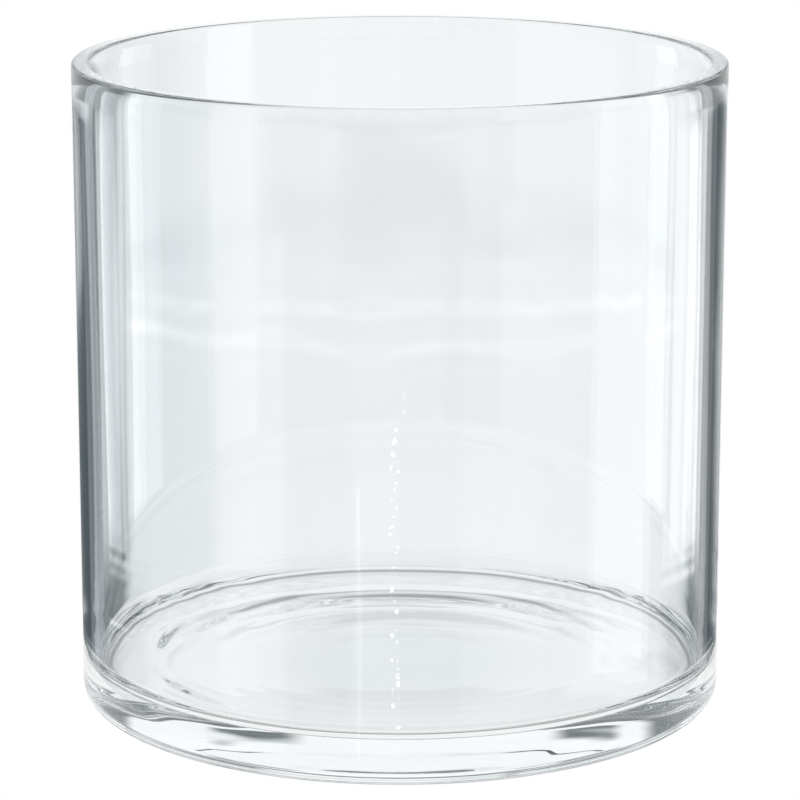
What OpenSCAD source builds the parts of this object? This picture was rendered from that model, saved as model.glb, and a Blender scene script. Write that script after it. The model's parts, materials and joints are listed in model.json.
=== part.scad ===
// Glass cylinder vase: one piece of clear glass, straight sided, with a thick bottom.
// The origin is on the axis of the cylinder, at the level of the surface the vase stands on.
// +Z points up, out of the mouth.

/* [Body] */
// Outside diameter
vase_d = 200; // [120:1:320]
// Height from the surface it stands on to the top of the rim
vase_h = 200; // [80:1:400]
// Thickness of the side wall
wall_t = 5.2; // [3:0.1:9]

/* [Bottom] */
// Thickness of the glass under the floor, measured beside the hollow of the foot
floor_t = 13; // [8:0.5:24]
// Radius of the round corner between the wall and the floor, inside
floor_corner_r = 6; // [2:0.5:15]
// Radius of the round corner between the side and the foot, outside
foot_corner_r = 5; // [2:0.5:12]
// Width of the flat ring that the vase stands on
foot_ring_w = 14; // [6:0.5:30]
// Depth of the shallow hollow inside that ring
foot_hollow_h = 1.5; // [0.5:0.1:4]

/* [Rim] */
// Radius of the melted corners of the rim, at most half of the wall
rim_corner_r = 1.1; // [0.4:0.1:1.4]

/* [Hidden] */

glass_tint = [0.86, 0.92, 0.91, 0.35];
// Facets of a full turn in the preview
turn_facets = 180;
// Facets of a full circle in the outline
corner_facets = 96;
// How far a cut runs past the glass
over = 1;

outer_r = vase_d / 2;
inner_r = outer_r - wall_t;
hollow_r = outer_r - foot_corner_r - foot_ring_w;
// Radius of the ball whose cap is the hollow of the foot
hollow_ball_r = (hollow_r * hollow_r + foot_hollow_h * foot_hollow_h) / (2 * foot_hollow_h);
// The ball is large, so its outline needs many facets to keep the cap true
ball_facets = 2880;

// What a round corner of radius r takes off a square one.
// The centre of the round is at the origin and the corner points towards +X and +Y.
module corner_cut(r) {
    difference() {
        square(r + over);
        circle(r, $fn = corner_facets);
    }
}

// Half of the outside shape, with the foot and the outer corner of the rim rounded
module outside_outline() {
    difference() {
        square([outer_r, vase_h]);
        translate([outer_r - foot_corner_r, foot_corner_r]) mirror([0, 1]) corner_cut(foot_corner_r);
        translate([outer_r - rim_corner_r, vase_h - rim_corner_r]) corner_cut(rim_corner_r);
    }
}

// Half of the inside space, with its floor corner rounded, running out past the rim
module inside_outline() {
    difference() {
        translate([0, floor_t]) square([inner_r, vase_h - floor_t + over]);
        translate([inner_r - floor_corner_r, floor_t + floor_corner_r]) mirror([0, 1]) corner_cut(floor_corner_r);
    }
}

// What rounds the inner corner of the rim
module rim_inner_cut() {
    translate([inner_r + rim_corner_r, vase_h - rim_corner_r]) mirror([1, 0]) corner_cut(rim_corner_r);
}

// Half of the shallow hollow under the foot, cut from a large ball
module foot_hollow_outline() {
    intersection() {
        translate([0, foot_hollow_h - hollow_ball_r]) circle(hollow_ball_r, $fn = ball_facets);
        translate([0, -over]) square([hollow_r + over, foot_hollow_h + 2 * over]);
    }
}

// The whole piece of glass, turned about its axis
module glass_vase() {
    color(glass_tint)
    rotate_extrude($fn = turn_facets)
    difference() {
        outside_outline();
        inside_outline();
        rim_inner_cut();
        foot_hollow_outline();
    }
}

glass_vase();
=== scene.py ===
import json
import math
import bpy
import numpy as np
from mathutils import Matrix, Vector


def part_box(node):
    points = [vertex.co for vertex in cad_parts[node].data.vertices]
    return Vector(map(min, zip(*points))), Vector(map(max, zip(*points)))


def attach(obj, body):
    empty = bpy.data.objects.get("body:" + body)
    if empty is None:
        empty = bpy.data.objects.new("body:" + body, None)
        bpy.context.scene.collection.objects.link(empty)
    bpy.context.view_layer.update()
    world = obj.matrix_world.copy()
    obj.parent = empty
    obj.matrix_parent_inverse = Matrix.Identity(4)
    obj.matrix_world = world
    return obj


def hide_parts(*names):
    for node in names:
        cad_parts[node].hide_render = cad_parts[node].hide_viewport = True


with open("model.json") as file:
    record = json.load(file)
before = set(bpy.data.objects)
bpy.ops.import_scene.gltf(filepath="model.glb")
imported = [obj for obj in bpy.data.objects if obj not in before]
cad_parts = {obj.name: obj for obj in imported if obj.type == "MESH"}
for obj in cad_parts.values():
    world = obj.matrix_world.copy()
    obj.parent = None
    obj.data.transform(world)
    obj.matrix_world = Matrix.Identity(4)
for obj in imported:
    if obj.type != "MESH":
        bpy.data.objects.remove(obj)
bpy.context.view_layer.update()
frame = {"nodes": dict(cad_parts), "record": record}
print("frame loaded")

farAway = 1                  # m, past every part of the vase
sameLevel = 1e-6             # m, points this close in height are on one level


def readVaseSizes():
    # the CAD vase and its mounts give every size; two rays along the axis give the floor and the hollow
    lowest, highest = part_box("glass_vase")
    cadVase = frame["nodes"]["glass_vase"]
    mouth = next(m for m in frame["record"]["mounts"] if m["name"] == "mouth")
    insideR = mouth["dims"]["r_mm"] / 1000
    wallFoot = mouth["pos_m"][2] - mouth["dims"]["length_mm"] / 1000
    offAxis = 0.0013                                        # misses the seams of the CAD mesh
    bpy.context.view_layer.update()
    floorHit = cadVase.ray_cast(Vector((offAxis, offAxis, farAway)), Vector((0, 0, -1)))[1]
    hollowHit = cadVase.ray_cast(Vector((offAxis, offAxis, -farAway)), Vector((0, 0, 1)))[1]
    points = np.empty(len(cadVase.data.vertices) * 3)
    cadVase.data.vertices.foreach_get("co", points)
    points = points.reshape(-1, 3)
    ring = np.hypot(points[:, 0], points[:, 1])[points[:, 2] < lowest.z + sameLevel]
    return {
        "outsideR": highest.x,
        "insideR": insideR,
        "height": highest.z,
        "floorZ": floorHit.z,
        "floorCorner": wallFoot - floorHit.z,
        "rimCorner": highest.z - mouth["pos_m"][2],
        "footCorner": highest.x - ring.max(),
        "footInsideR": ring.min(),
        "hollowZ": hollowHit.z,
    }


size = readVaseSizes()
print("sizes in mm:", {name: round(value * 1000, 2) for name, value in size.items()})


def smoothStep(value, start, end):
    # 0 before start, 1 after end, and a cubic ease between them
    t = np.clip((value - start) / (end - start), 0, 1)
    return t * t * (3 - 2 * t)


def window(value, low, high, soft):
    # 1 between low and high, 0 outside, with eased edges soft wide
    half = soft / 2
    return smoothStep(value, low - half, low + half) * (1 - smoothStep(value, high - half, high + half))


def arcPoints(centreR, centreZ, radius, fromDeg, toDeg, steps):
    # a stretch of a circle: centre + radius * (cos, sin), without its first point
    a = np.radians(np.linspace(fromDeg, toDeg, steps + 1)[1:])
    return np.stack([centreR + radius * np.cos(a), centreZ + radius * np.sin(a)], 1)


def linePoints(start, end, steps):
    # evenly spaced points of a straight stretch, without its first point
    t = np.linspace(0, 1, steps + 1)[1:, None]
    return np.array(start) * (1 - t) + np.array(end) * t


# how many rows of the grid each stretch of the outline gets
rowCounts = {
    "floor": 58,
    "floorCorner": 14,
    "lowWall": 44,           # close together, for the ripples near the floor
    "wall": 36,
    "rimCorner": 6,
    "rimFlat": 4,
    "outside": 24,
    "footCorner": 12,
    "footRing": 5,
    "hollow": 30,
}
lowWallTop = 0.062           # m above the foot


def vaseProfile(s, rows):
    # the outline of half a section, from the middle of the floor, up inside, over the rim,
    # down outside and back to the axis under the foot; zone names the stretch of each point
    insideR, outsideR, height, floorZ = s["insideR"], s["outsideR"], s["height"], s["floorZ"]
    floorCorner, footCorner, rimR = s["floorCorner"], s["footCorner"], s["rimCorner"]
    footInsideR, hollowZ = s["footInsideR"], s["hollowZ"]
    flatR = insideR - floorCorner
    wallZ = floorZ + floorCorner
    footR = outsideR - footCorner
    rimZ = height - rimR
    rimInR = insideR + rimR
    rimOutR = outsideR - rimR
    ballR = (footInsideR ** 2 + hollowZ ** 2) / (2 * hollowZ)
    ballDeg = math.degrees(math.asin(footInsideR / ballR))
    stretches = [
        ("floor", linePoints((0, floorZ), (flatR, floorZ), rows["floor"])),
        ("floorCorner", arcPoints(flatR, wallZ, floorCorner, -90, 0, rows["floorCorner"])),
        ("inside", linePoints((insideR, wallZ), (insideR, lowWallTop), rows["lowWall"])),
        ("inside", linePoints((insideR, lowWallTop), (insideR, rimZ), rows["wall"])),
        ("rim", arcPoints(rimInR, rimZ, rimR, 180, 90, rows["rimCorner"])),
        ("rim", linePoints((rimInR, height), (rimOutR, height), rows["rimFlat"])),
        ("rim", arcPoints(rimOutR, rimZ, rimR, 90, 0, rows["rimCorner"])),
        ("outside", linePoints((outsideR, rimZ), (outsideR, footCorner), rows["outside"])),
        ("foot", arcPoints(footR, footCorner, footCorner, 0, -90, rows["footCorner"])),
        ("foot", linePoints((footR, 0), (footInsideR, 0), rows["footRing"])),
        ("hollow", arcPoints(0, hollowZ - ballR, ballR, 90 - ballDeg, 90, rows["hollow"])),
    ]
    outline = np.concatenate([np.array([[0, floorZ]])] + [points for _, points in stretches])
    zone = np.concatenate([["floor"]] + [[name] * len(points) for name, points in stretches])
    return outline, zone


# the small unevenness of blown glass; each wave has its height in mm, its shortest and longest length in m,
# how many sines add up to it, and how far its crests sway in radians or how many of them go round the vase
glassLook = {
    "turnSteps": 400,        # grid steps round the vase
    "seed": 11,
    # the inner wall wanders, with upright swells, and has ripples low down, where the hot glass first set
    "wall": {"high": 0.014, "lengths": (0.030, 0.10), "sway": 2.0, "count": 7},
    "stria": {"high": 0.022, "lengths": (0.20, 0.40), "turns": (6, 14), "count": 7},
    "ripple": {"high": 0.006, "lengths": (0.004, 0.011), "sway": 1.5, "count": 7},
    # the outer wall, the floor's round corner, the floor, its outer part, and the hollow under the foot
    "outside": {"high": 0.015, "lengths": (0.04, 0.12), "sway": 2.0, "count": 5},
    "corner": {"high": 0.040, "lengths": (0.008, 0.020), "sway": 1.2, "count": 7},
    "floor": {"high": 0.022, "lengths": (0.009, 0.026), "sway": 0.8, "count": 5},
    "edge": {"high": 0.030, "lengths": (0.006, 0.012), "sway": 0.9, "count": 6},
    "hollow": {"high": 0.03, "lengths": (0.012, 0.03), "sway": 1.5, "count": 4},
    # where each wave starts and ends and how softly, in m
    "wallFull": 0.045,       # m up, where the inner wall's waves reach their full height
    "wallFade": 0.02,        # m under the rim, over which they fade out
    "rippleFrom": 0.004,     # m above the floor's corner
    "rippleTo": 0.060,
    "rippleSoft": 0.008,
    "outsideFrom": 0.018,
    "outsideTo": 0.01,       # m under the rim
    "outsideSoft": 0.016,
    "cornerFrom": 0.003,     # m in from the corner, across the floor
    "cornerTo": 0.014,       # m above the corner, up the wall
    "cornerSoft": (0.010, 0.018),
    "floorFrom": (0.001, 0.012),
    "edgeFrom": 0.052,       # m from the axis
    "edgeTo": 0.004,         # m in from the corner
    "edgeSoft": 0.014,
    "hollowIn": 0.006,       # m, left even at both edges of the hollow
    "hollowSoft": 0.010,
    "foldHigh": 0.90,        # mm, one folded lap of glass near the floor's edge
    "foldR": 0.0775,         # m from the axis
    "foldHalf": 0.0018,
    "foldTurns": (163, 232), # degrees round the vase from +X
    "foldSoft": 0.35,        # radians
    "foldSwell": 0.3,        # how much the lap's height changes along it, and how often in a full turn
    "foldLumps": 9,
}


def ringWaves(along, turn, rng, wave):
    # sines that run along the glass, so their crests are rings; each has a random length and phase, and its
    # phase sways a little once or twice round the vase
    lengths = wave["lengths"]
    total = np.zeros(np.broadcast(along, turn).shape)
    for _ in range(wave["count"]):
        length = rng.uniform(*lengths)
        phase, start = rng.uniform(0, 2 * np.pi, 2)
        swayed = wave["sway"] * np.sin(rng.integers(1, 3) * turn + start)
        total += np.sin(2 * np.pi * along / length + phase + swayed) * length / lengths[1]
    return wave["high"] * (total / math.sqrt(wave["count"]))


def uprightWaves(along, turn, rng, wave):
    # sines round the vase that lean slowly as they run along it; each has a random phase, number of turns
    # and lean
    total = np.zeros(np.broadcast(along, turn).shape)
    for _ in range(wave["count"]):
        phase = rng.uniform(0, 2 * np.pi)
        crests = rng.integers(*wave["turns"]) * turn
        total += np.sin(crests + 2 * np.pi * along / rng.uniform(*wave["lengths"]) + phase)
    return wave["high"] * (total / math.sqrt(wave["count"]))


def glassVase(s, look):
    # the profile turned about the axis: x = r cos(turn), y = r sin(turn); each point then moves along
    # the profile's own normal by the waves of its stretch, in mm
    rng = np.random.default_rng(look["seed"])
    outline, zone = vaseProfile(s, rowCounts)
    step = np.gradient(outline, axis=0)
    step /= np.linalg.norm(step, axis=1, keepdims=True)
    r, z = outline[:, :1], outline[:, 1:]
    turn = np.linspace(0, 2 * np.pi, look["turnSteps"], endpoint=False)[None, :]
    isFloor, isInside, isOutside, isHollow, isCorner = (
        np.isin(zone, names)[:, None]
        for names in (["floor"], ["inside"], ["outside"], ["hollow"], ["floor", "floorCorner", "inside"]))

    # how much of each wave a point gets
    height = s["height"]
    flatR = s["insideR"] - s["floorCorner"]
    wallZ = s["floorZ"] + s["floorCorner"]
    underRim = 1 - smoothStep(z, height - look["wallFade"], height)
    onWall = isInside * smoothStep(z, wallZ, look["wallFull"]) * underRim
    lowWall = isInside * window(z, wallZ + look["rippleFrom"], look["rippleTo"], look["rippleSoft"])
    onOutside = isOutside * window(z, look["outsideFrom"], height - look["outsideTo"], look["outsideSoft"])
    floorSoft, wallSoft = look["cornerSoft"]
    onCorner = isCorner * window(r, flatR - look["cornerFrom"], farAway, floorSoft) \
        * window(z, -farAway, wallZ + look["cornerTo"], wallSoft)
    onFloor = isFloor * smoothStep(r, *look["floorFrom"])
    nearEdge = isFloor * window(r, look["edgeFrom"], flatR - look["edgeTo"], look["edgeSoft"])
    hollowEnd = s["footInsideR"] - look["hollowIn"]
    onHollow = isHollow * window(r, look["hollowIn"], hollowEnd, look["hollowSoft"])

    wall = ringWaves(z, turn, rng, look["wall"])
    wall = wall + uprightWaves(z, turn, rng, look["stria"])
    ripple = ringWaves(z, turn, rng, look["ripple"])
    outside = ringWaves(z, turn, rng, look["outside"])
    corner = ringWaves(z + r, turn, rng, look["corner"])
    floor = ringWaves(r, turn, rng, look["floor"])
    edge = ringWaves(r, turn, rng, look["edge"])
    hollow = ringWaves(r, turn, rng, look["hollow"])
    lapFrom, lapTo = np.radians(look["foldTurns"])
    lumps = 1 - look["foldSwell"] + look["foldSwell"] * np.sin(look["foldLumps"] * turn)
    fold = look["foldHigh"] * np.exp(-((r - look["foldR"]) / look["foldHalf"]) ** 2) \
        * window(turn, lapFrom, lapTo, look["foldSoft"]) * lumps
    push = wall * onWall + ripple * lowWall + outside * onOutside + corner * onCorner
    push = push + floor * onFloor * (1 - nearEdge) + edge * nearEdge + fold * onFloor + hollow * onHollow
    push = push / 1000

    aroundR = r - step[:, 1:] * push
    upZ = z + step[:, :1] * push
    points = np.stack([aroundR * np.cos(turn), aroundR * np.sin(turn), upZ + 0 * turn], -1)
    return closeGrid(points)


def closeGrid(points):
    # rows of points round the axis become quads; the first and last row are one point each, a fan's tip
    rows, columns = points.shape[:2]
    inner = points[1:-1].reshape(-1, 3)
    vertices = np.concatenate([points[:1, 0], inner, points[-1:, 0]])
    index = 1 + np.arange((rows - 2) * columns).reshape(rows - 2, columns)
    beside = np.roll(index, -1, axis=1)
    quads = np.stack([index[:-1], index[1:], beside[1:], beside[:-1]], -1).reshape(-1, 4)
    tip = np.zeros(columns, int)
    firstFan = np.stack([tip, index[0], beside[0]], -1)
    lastFan = np.stack([tip + len(vertices) - 1, beside[-1], index[-1]], -1)
    return vertices, [quads, firstFan, lastFan]


def meshObject(name, vertices, faceGroups, smooth=True):
    # arrays of points and of equal-sided faces become one mesh object at the origin
    corners = np.concatenate([group.ravel() for group in faceGroups])
    sides = np.concatenate([np.full(len(group), group.shape[1]) for group in faceGroups])
    starts = np.concatenate([[0], np.cumsum(sides)[:-1]])
    mesh = bpy.data.meshes.new(name)
    mesh.vertices.add(len(vertices))
    mesh.vertices.foreach_set("co", np.ascontiguousarray(vertices, np.float32).ravel())
    mesh.loops.add(len(corners))
    mesh.loops.foreach_set("vertex_index", corners.astype(np.int32))
    mesh.polygons.add(len(sides))
    mesh.polygons.foreach_set("loop_start", starts.astype(np.int32))
    mesh.polygons.foreach_set("use_smooth", np.full(len(sides), smooth))
    mesh.update(calc_edges=True)
    mesh.validate()
    made = bpy.data.objects.new(name, mesh)
    bpy.context.scene.collection.objects.link(made)
    return made


clearGlassLook = {
    "ior": 1.52,
    "clear": (0.985, 0.992, 0.995, 1),
    "faintCords": (0.968, 0.982, 0.986, 1),     # where the melt is a little denser
    "cordScale": 14,
    "cordTwist": 1.5,
    "depthColour": (0.87, 0.94, 0.94, 1),       # what a metre of the glass lets through
    "depthDensity": 1.0,
    "scuffTop": 0.0012,                         # m, the scuffs of the foot end at this height
    "scuffScale": 90,
    "scuffFrom": 0.42,                          # the noise is unscuffed under this value
    "scuffTo": 0.62,                            # and scuffed most over this one
    "scuffRoughness": 0.03,
}


def clearGlass(look):
    # clear soda glass: its own faint tint drifts in soft cords, and the ring it stands on is scuffed
    # in patches
    mat = bpy.data.materials.new("clearGlass")
    mat.use_nodes = True
    nodes, links = mat.node_tree.nodes, mat.node_tree.links
    shader = nodes["Principled BSDF"]
    shader.inputs["IOR"].default_value = look["ior"]
    shader.inputs["Transmission Weight"].default_value = 1.0
    place = nodes.new("ShaderNodeTexCoord")
    cords = nodes.new("ShaderNodeTexNoise")
    cords.inputs["Scale"].default_value = look["cordScale"]
    cords.inputs["Distortion"].default_value = look["cordTwist"]
    tint = nodes.new("ShaderNodeMix")
    tint.data_type = "RGBA"
    tint.inputs["A"].default_value = look["clear"]
    tint.inputs["B"].default_value = look["faintCords"]
    links.new(place.outputs["Object"], cords.inputs["Vector"])
    links.new(cords.outputs["Fac"], tint.inputs["Factor"])
    links.new(tint.outputs["Result"], shader.inputs["Base Color"])

    # roughness = how near the foot, times how scuffed the noise says it is
    heights = nodes.new("ShaderNodeSeparateXYZ")
    nearFoot = nodes.new("ShaderNodeMapRange")
    nearFoot.inputs["From Min"].default_value = look["scuffTop"]
    nearFoot.inputs["From Max"].default_value = 0
    scuffs = nodes.new("ShaderNodeTexNoise")
    scuffs.inputs["Scale"].default_value = look["scuffScale"]
    patches = nodes.new("ShaderNodeMapRange")
    patches.inputs["From Min"].default_value = look["scuffFrom"]
    patches.inputs["From Max"].default_value = look["scuffTo"]
    patches.inputs["To Max"].default_value = look["scuffRoughness"]
    worn = nodes.new("ShaderNodeMath")
    worn.operation = "MULTIPLY"
    links.new(place.outputs["Object"], heights.inputs["Vector"])
    links.new(heights.outputs["Z"], nearFoot.inputs["Value"])
    links.new(place.outputs["Object"], scuffs.inputs["Vector"])
    links.new(scuffs.outputs["Fac"], patches.inputs["Value"])
    links.new(nearFoot.outputs["Result"], worn.inputs[0])
    links.new(patches.outputs["Result"], worn.inputs[1])
    links.new(worn.outputs["Value"], shader.inputs["Roughness"])

    depth = nodes.new("ShaderNodeVolumeAbsorption")
    depth.inputs["Color"].default_value = look["depthColour"]
    depth.inputs["Density"].default_value = look["depthDensity"]
    links.new(depth.outputs["Volume"], nodes["Material Output"].inputs["Volume"])
    return mat


vertices, faceGroups = glassVase(size, glassLook)
vase = meshObject("vaseGlass", vertices, faceGroups)
vase.data.materials.append(clearGlass(clearGlassLook))
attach(vase, "root")
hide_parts("glass_vase")
print("glass made:", len(vase.data.polygons), "faces")

cameraLook = {
    "distance": 1.1135,      # m, level distance from the axis
    "height": 0.3607,        # m above the floor
    "downDeg": 13.535,       # tilt below the horizon
    "lens": 165.33,          # mm
    "sensor": 36,            # mm
}


def makeCamera(look):
    # straight in front of the vase, on -Y, looking over its rim and down into it
    data = bpy.data.cameras.new("camera")
    data.lens = look["lens"]
    data.sensor_width = look["sensor"]
    camera = bpy.data.objects.new("camera", data)
    camera.location = (0, -look["distance"], look["height"])
    camera.rotation_euler = (math.radians(90 - look["downDeg"]), 0, 0)
    bpy.context.scene.collection.objects.link(camera)
    bpy.context.scene.camera = camera
    return camera


camera = makeCamera(cameraLook)
print("camera made")

# clear glass shows only what stands round it: a ring of cards that turns with the camera, as on a turntable
setLook = {
    "ringR": 6.0,            # m, how far the cards stand from the axis
    "ringLow": -55,          # degrees of rise at which the ring starts
    "riseSteps": ((-16, 1), (-7, 0.04), (9, 1), (25, 0.25), (60, 1)),   # up to each rise, in such steps
    "turnSteps": 900,
    "dark": (0.075, 0.095, 0.105),      # the unlit studio between the cards
    "darkest": 0.02,
    "beyond": (0.20, 0.21, 0.22),       # what is over and under the ring of cards
}

# each card: from and to in degrees from straight behind the vase, + to the right as the camera sees it,
# then the softness of those edges, its lowest and highest edge in degrees of rise, the softness of these,
# and its colour times brightness; a later card lies over an earlier one
setCards = {
    "backSheet": (-12.4, 16.5, 3, -60, 60, 0.4, (0.85, 0.875, 0.895)),
    "backSheetBright": (-5.2, 14, 3, -60, 60, 0.4, (0.955, 0.965, 0.97)),
    "leftGap": (-42.5, -33, 2, -60, 60, 0.4, (0.45, 0.49, 0.52)),
    "leftLamp": (-64, -48.8, 1.2, -15.4, -7.0, 1.4, (2.05, 2.12, 2.18)),
    "leftLampSide": (-77, -64, 3, -15.4, -7.0, 1.4, (0.60, 0.63, 0.66)),
    "leftLampTop": (-77, -13, 3, -7.0, 8, 0.4, (0.92, 0.95, 0.97)),
    "leftLampSpill": (-112, -77, 5, -60, 60, 0.4, (0.47, 0.51, 0.55)),
    "leftCorner": (-140, -112, 5, -60, 60, 0.4, (0.60, 0.64, 0.68)),
    "leftLampSpillTop": (-140, -87, 5, -9.6, 60, 0.8, (0.74, 0.78, 0.82)),
    "rightGap": (35, 45, 3, -60, 60, 0.4, (0.42, 0.43, 0.44)),
    "rightLamp": (46.2, 57, 1, -15.4, -7.0, 1.4, (2.15, 2.17, 2.17)),
    "rightLampSide": (57, 70, 2, -15.4, -7.0, 1.4, (1.45, 1.46, 1.46)),
    "rightLampTop": (14, 70, 3, -7.0, 8, 0.4, (0.90, 0.91, 0.92)),
    "rightLampSpill": (70, 84, 3, -60, 60, 0.4, (0.50, 0.51, 0.52)),
    "rightCorner": (84, 134, 5, -60, 60, 0.4, (0.56, 0.57, 0.58)),
    "frontRight": (134, 160, 6, -60, -9.6, 0.4, (0.55, 0.56, 0.56)),
    "frontMiddleRight": (160, 186, 6, -60, -9.6, 0.4, (0.30, 0.31, 0.32)),
    "frontMiddleLeft": (-186, -162, 6, -60, -9.6, 0.4, (0.46, 0.48, 0.52)),
    "frontLeft": (-162, -140, 6, -60, -9.6, 0.4, (0.17, 0.19, 0.21)),
    "farWallLeft": (-186, -134, 6, -9.3, 60, 0.4, (0.30, 0.35, 0.40)),
    "farWallRight": (134, 186, 6, -9.3, 60, 0.4, (0.60, 0.63, 0.66)),
    "cameraPlace": (158, 186, 8, -9.9, -7.6, 0.4, (0.14, 0.16, 0.18)),
    "cameraPlaceLeft": (-186, -166, 8, -9.9, -7.6, 0.4, (0.14, 0.16, 0.18)),
    "frontStripe": (-166.2, -165.0, 0.5, -60, -13.8, 0.4, (1.35, 1.35, 1.48)),
    "ceiling": (-181, 181, 1, 10, 24, 1.6, (1.00, 1.01, 1.02)),
    "darkTop": (-181, 181, 1, 24, 60, 1.6, (0.20, 0.21, 0.22)),
    "rimGlow": (-14, 14, 3, 8.4, 12.2, 0.6, (1.02, 1.05, 1.07)),
    "ceilingGapRight": (12, 24, 4, 15.0, 18.2, 1.6, (0.16, 0.18, 0.18)),
    "ceilingGapLeft": (-30, -19, 4, 15.5, 18.5, 1.6, (0.18, 0.20, 0.20)),
    "ceilingGapSide": (46, 120, 6, 10, 24, 2.5, (0.16, 0.18, 0.19)),
    "ceilingGapFar": (-120, -38, 6, 10, 24, 2.5, (0.16, 0.18, 0.19)),
}

# bright and shaded edges of the table, on the camera's side and round both sides: each has its rise on the
# camera's side, how much higher it is at the bend, its width in degrees, and its brightness
tableEdges = {
    "upperShade": (-9.00, -0.9, 0.60, -0.35),
    "middle": (-10.65, 0.1, 0.11, 0.24),
    "lower": (-11.35, 0.30, 0.20, 0.72),
    "under": (-11.80, 0.30, 0.14, 0.15),
}
tableLook = {
    "from": 64,              # degrees either side of straight behind the vase at which the edges start
    "fade": 8,               # degrees over which they come in
    "bendSpan": 110,         # degrees from the camera's side round to the bend
    "sharp": 1.7,            # makes an edge's width the full width at about half its brightness
}

# a narrow tall panel that stands close to the vase on its right, in metres, and how bright it is
panelLook = {
    "x": 0.405,
    "yFrom": -0.193,
    "yTo": -0.014,
    "zFrom": -0.085,
    "zTo": 0.60,
    "glow": (1.30, 1.30, 1.32),
}

# a column of small bright bulbs behind the camera; angles are in degrees, measured as the cards' are
bulbLook = {
    "ringR": 5.9,            # m, just inside the ring of cards
    "turnDeg": -178.2,
    "jitterDeg": 1.3,
    "highest": -12.85,
    "lowest": -18.2,
    "crowding": 1.25,        # over 1 brings them closer together at the top
    "count": 16,
    "corners": 8,
    "seed": 5,
    "halfWide": 0.50,
    "halfHigh": 0.034,
    "sizes": (0.5, 1.3),     # the smallest and largest, as shares of those halves
    "glow": (20, 20, 20.5),
}

# the white disc that the vase stands on, in metres; its glow is darker at the centre than at the edge,
# painted shade under the vase
plinthLook = {
    "radius": 0.125,
    "height": -0.0005,
    # painted shade: the centre under the vase glows darker than the edge
    "centreGlow": (0.80, 0.825, 0.845),
    "edgeGlow": (0.97, 0.97, 0.97),
    "creaseR": 0.0972,       # painted soft shadow under the round edge of the foot
    "creaseHalf": 0.0014,
    "creaseDepth": 0.75,
}

# the pale floor that only the camera sees
floorLook = {
    "radius": 9,
    "height": -0.001,
    "centreGlow": (1, 1, 1),
    "edgeGlow": (1, 1, 1),
    "creaseR": 1,
    "creaseHalf": 1,
    "creaseDepth": 0,
}
discLook = {
    "rings": 160,
    "turnSteps": 96,
    "fadeFrom": 0.15,        # shares of the radius between which the glow eases from the centre's
    "fadeTo": 0.55,          # to the edge's
}


def ringGlow(turnDeg, rise, look):
    # colour of the ring at each angle and rise: the dark studio, with each card laid over it through its
    # window in angle times its window in rise, then the table's edges, each a bell curve in rise
    glow = np.zeros(np.broadcast(turnDeg, rise).shape + (3,)) + look["dark"]
    for low, high, soft, bottom, top, riseSoft, colour in setCards.values():
        there = (window(turnDeg, low, high, soft) * window(rise, bottom, top, riseSoft))[..., None]
        glow = glow * (1 - there) + np.array(colour) * there
    around = smoothStep(np.abs(turnDeg), tableLook["from"], tableLook["from"] + tableLook["fade"])
    side = (1 - np.abs(turnDeg) / 180) * 180 / tableLook["bendSpan"]
    for straight, bend, width, bright in tableEdges.values():
        line = np.exp(-((rise - straight - bend * side ** 2) / width * tableLook["sharp"]) ** 2) * around
        glow += bright * line[..., None]
    return np.maximum(glow, look["darkest"])


def glowMaterial(name, colour, attribute=None):
    # a plain glow of one colour, or of the colour painted on the points
    mat = bpy.data.materials.new(name)
    mat.use_nodes = True
    nodes, links = mat.node_tree.nodes, mat.node_tree.links
    nodes.remove(nodes["Principled BSDF"])
    glow = nodes.new("ShaderNodeEmission")
    glow.inputs["Color"].default_value = (*colour, 1)
    links.new(glow.outputs["Emission"], nodes["Material Output"].inputs["Surface"])
    if attribute:
        painted = nodes.new("ShaderNodeAttribute")
        painted.attribute_name = attribute
        links.new(painted.outputs["Color"], glow.inputs["Color"])
    return mat


def setPiece(name, vertices, faceGroups, mat):
    # one card of the set: the glass sees it, the camera does not
    card = meshObject(name, vertices, faceGroups, smooth=False)
    card.data.materials.append(mat)
    card.visible_camera = False
    card.visible_shadow = False
    card.visible_diffuse = False
    return card


def paintPoints(card, colours):
    # one colour for each point of a card, in the attribute that its material reads
    paint = card.data.color_attributes.new("glow", "FLOAT_COLOR", "POINT")
    opaque = np.concatenate([colours, np.ones((len(colours), 1))], 1)
    paint.data.foreach_set("color", opaque.astype(np.float32).ravel())


def unevenSteps(start, stretches):
    # evenly spaced values along each stretch, given by its end and its step
    values = [np.array([float(start)])]
    for end, step in stretches:
        count = max(1, round((end - values[-1][-1]) / step))
        values.append(np.linspace(values[-1][-1], end, count + 1)[1:])
    return np.concatenate(values)


def makeRing(look):
    # a cylinder about the axis: x = R sin(turn), y = R cos(turn), z = R tan(rise), with finer steps where
    # the table's edges are
    turnDeg = np.linspace(-180, 180, look["turnSteps"] + 1)[None, :]
    rise = unevenSteps(look["ringLow"], look["riseSteps"])[:, None]
    a = np.radians(turnDeg)
    x = np.sin(a) + 0 * rise
    y = np.cos(a) + 0 * rise
    z = np.tan(np.radians(rise)) + 0 * a
    points = look["ringR"] * np.stack([x, y, z], -1)
    index = np.arange(points[..., 0].size).reshape(points.shape[:2])
    quads = np.stack([index[:-1, :-1], index[:-1, 1:], index[1:, 1:], index[1:, :-1]], -1).reshape(-1, 4)
    ring = setPiece("cardRing", points.reshape(-1, 3), [quads], glowMaterial("cardRing", (1, 1, 1), "glow"))
    paintPoints(ring, ringGlow(turnDeg, rise, look).reshape(-1, 3))
    return ring


def makePanel(look):
    # one upright rectangle, facing the vase
    sides = ((look["yFrom"], look["zFrom"]), (look["yTo"], look["zFrom"]),
             (look["yTo"], look["zTo"]), (look["yFrom"], look["zTo"]))
    corners = np.array([(look["x"], y, z) for y, z in sides])
    face = np.array([[0, 1, 2, 3]])
    return setPiece("sidePanel", corners, [face], glowMaterial("sidePanel", look["glow"]))


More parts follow.
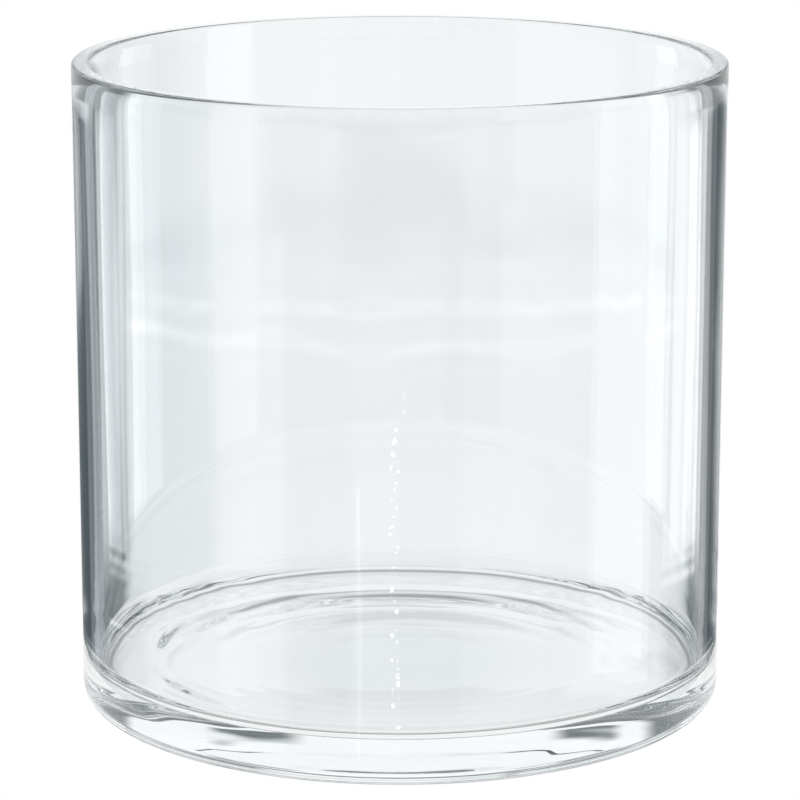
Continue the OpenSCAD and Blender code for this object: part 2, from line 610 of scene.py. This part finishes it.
def makeBulbs(look):
    # small ellipses on a cylinder about the axis, crowded towards the top of their column; each is a ring
    # of corners at centre + half size * (cos, sin), in degrees
    rng = np.random.default_rng(look["seed"])
    down = np.linspace(0, 1, look["count"]) ** look["crowding"]
    share = rng.uniform(*look["sizes"], look["count"])[:, None]
    around = np.linspace(0, 2 * np.pi, look["corners"], endpoint=False)[None, :]
    turnAt = look["turnDeg"] + rng.uniform(-1, 1, look["count"])[:, None] * look["jitterDeg"]
    riseAt = (look["highest"] + (look["lowest"] - look["highest"]) * down)[:, None]
    a = np.radians(turnAt + look["halfWide"] * share * np.cos(around))
    rise = np.radians(riseAt + look["halfHigh"] * share * np.sin(around))
    points = look["ringR"] * np.stack([np.sin(a), np.cos(a), np.tan(rise)], -1)
    faces = np.arange(points[..., 0].size).reshape(look["count"], look["corners"])
    return setPiece("bulbs", points.reshape(-1, 3), [faces], glowMaterial("bulbs", look["glow"]))


def makeDisc(name, look):
    # rings of points about the axis: x = r cos(turn), y = r sin(turn), with the glow eased from centre to
    # edge, darker at the centre as painted shade, and darkened by a bell curve in r, a painted shadow under
    # the foot's edge
    a = np.linspace(0, 2 * np.pi, discLook["turnSteps"], endpoint=False)[None, :]
    r = np.linspace(0, look["radius"], discLook["rings"])[:, None]
    points = np.stack([r * np.cos(a), r * np.sin(a), look["height"] + 0 * r * a], -1)
    index = np.arange(points[..., 0].size).reshape(points.shape[:2])
    beside = np.roll(index, -1, axis=1)
    quads = np.stack([index[:-1], index[1:], beside[1:], beside[:-1]], -1).reshape(-1, 4)
    made = setPiece(name, points.reshape(-1, 3), [quads], glowMaterial(name, (1, 1, 1), "glow"))
    pointR = (r + 0 * a).reshape(-1, 1)
    fade = smoothStep(pointR, discLook["fadeFrom"] * look["radius"], discLook["fadeTo"] * look["radius"])
    # painted shadow: a dark ring in the glow under the foot's round edge
    shade = 1 - look["creaseDepth"] * np.exp(-((pointR - look["creaseR"]) / look["creaseHalf"]) ** 2)
    eased = np.array(look["centreGlow"]) * (1 - fade) + np.array(look["edgeGlow"]) * fade
    paintPoints(made, eased * shade)
    return made


def makeSet(camera):
    # the ring, the panel and the bulbs hang on a turntable whose -Y side follows the camera
    rig = bpy.data.objects.new("turntable", None)
    bpy.context.scene.collection.objects.link(rig)
    follow = rig.constraints.new("LOCKED_TRACK")
    follow.target = camera
    follow.track_axis = "TRACK_NEGATIVE_Y"
    follow.lock_axis = "LOCK_Z"
    for card in (makeRing(setLook), makePanel(panelLook), makeBulbs(bulbLook)):
        card.parent = rig
    makeDisc("plinth", plinthLook)
    floor = makeDisc("paleFloor", floorLook)
    floor.visible_camera = True
    floor.visible_transmission = False
    floor.visible_glossy = False


def makeWorld(look):
    # white behind the vase for the camera itself, the studio's own grey for what the glass bends round
    world = bpy.data.worlds.new("room")
    bpy.context.scene.world = world
    world.use_nodes = True
    nodes, links = world.node_tree.nodes, world.node_tree.links
    path = nodes.new("ShaderNodeLightPath")
    mix = nodes.new("ShaderNodeMix")
    mix.data_type = "RGBA"
    mix.inputs["A"].default_value = (*look["beyond"], 1)
    mix.inputs["B"].default_value = (1, 1, 1, 1)
    links.new(path.outputs["Is Camera Ray"], mix.inputs["Factor"])
    links.new(mix.outputs["Result"], nodes["Background"].inputs["Color"])


makeSet(camera)
makeWorld(setLook)
scene = bpy.context.scene
scene.view_settings.view_transform = "Standard"
scene.cycles.max_bounces = 80          # light runs down inside the wall by dozens of reflections
scene.cycles.transmission_bounces = 40
scene.cycles.glossy_bounces = 72
print("set made")
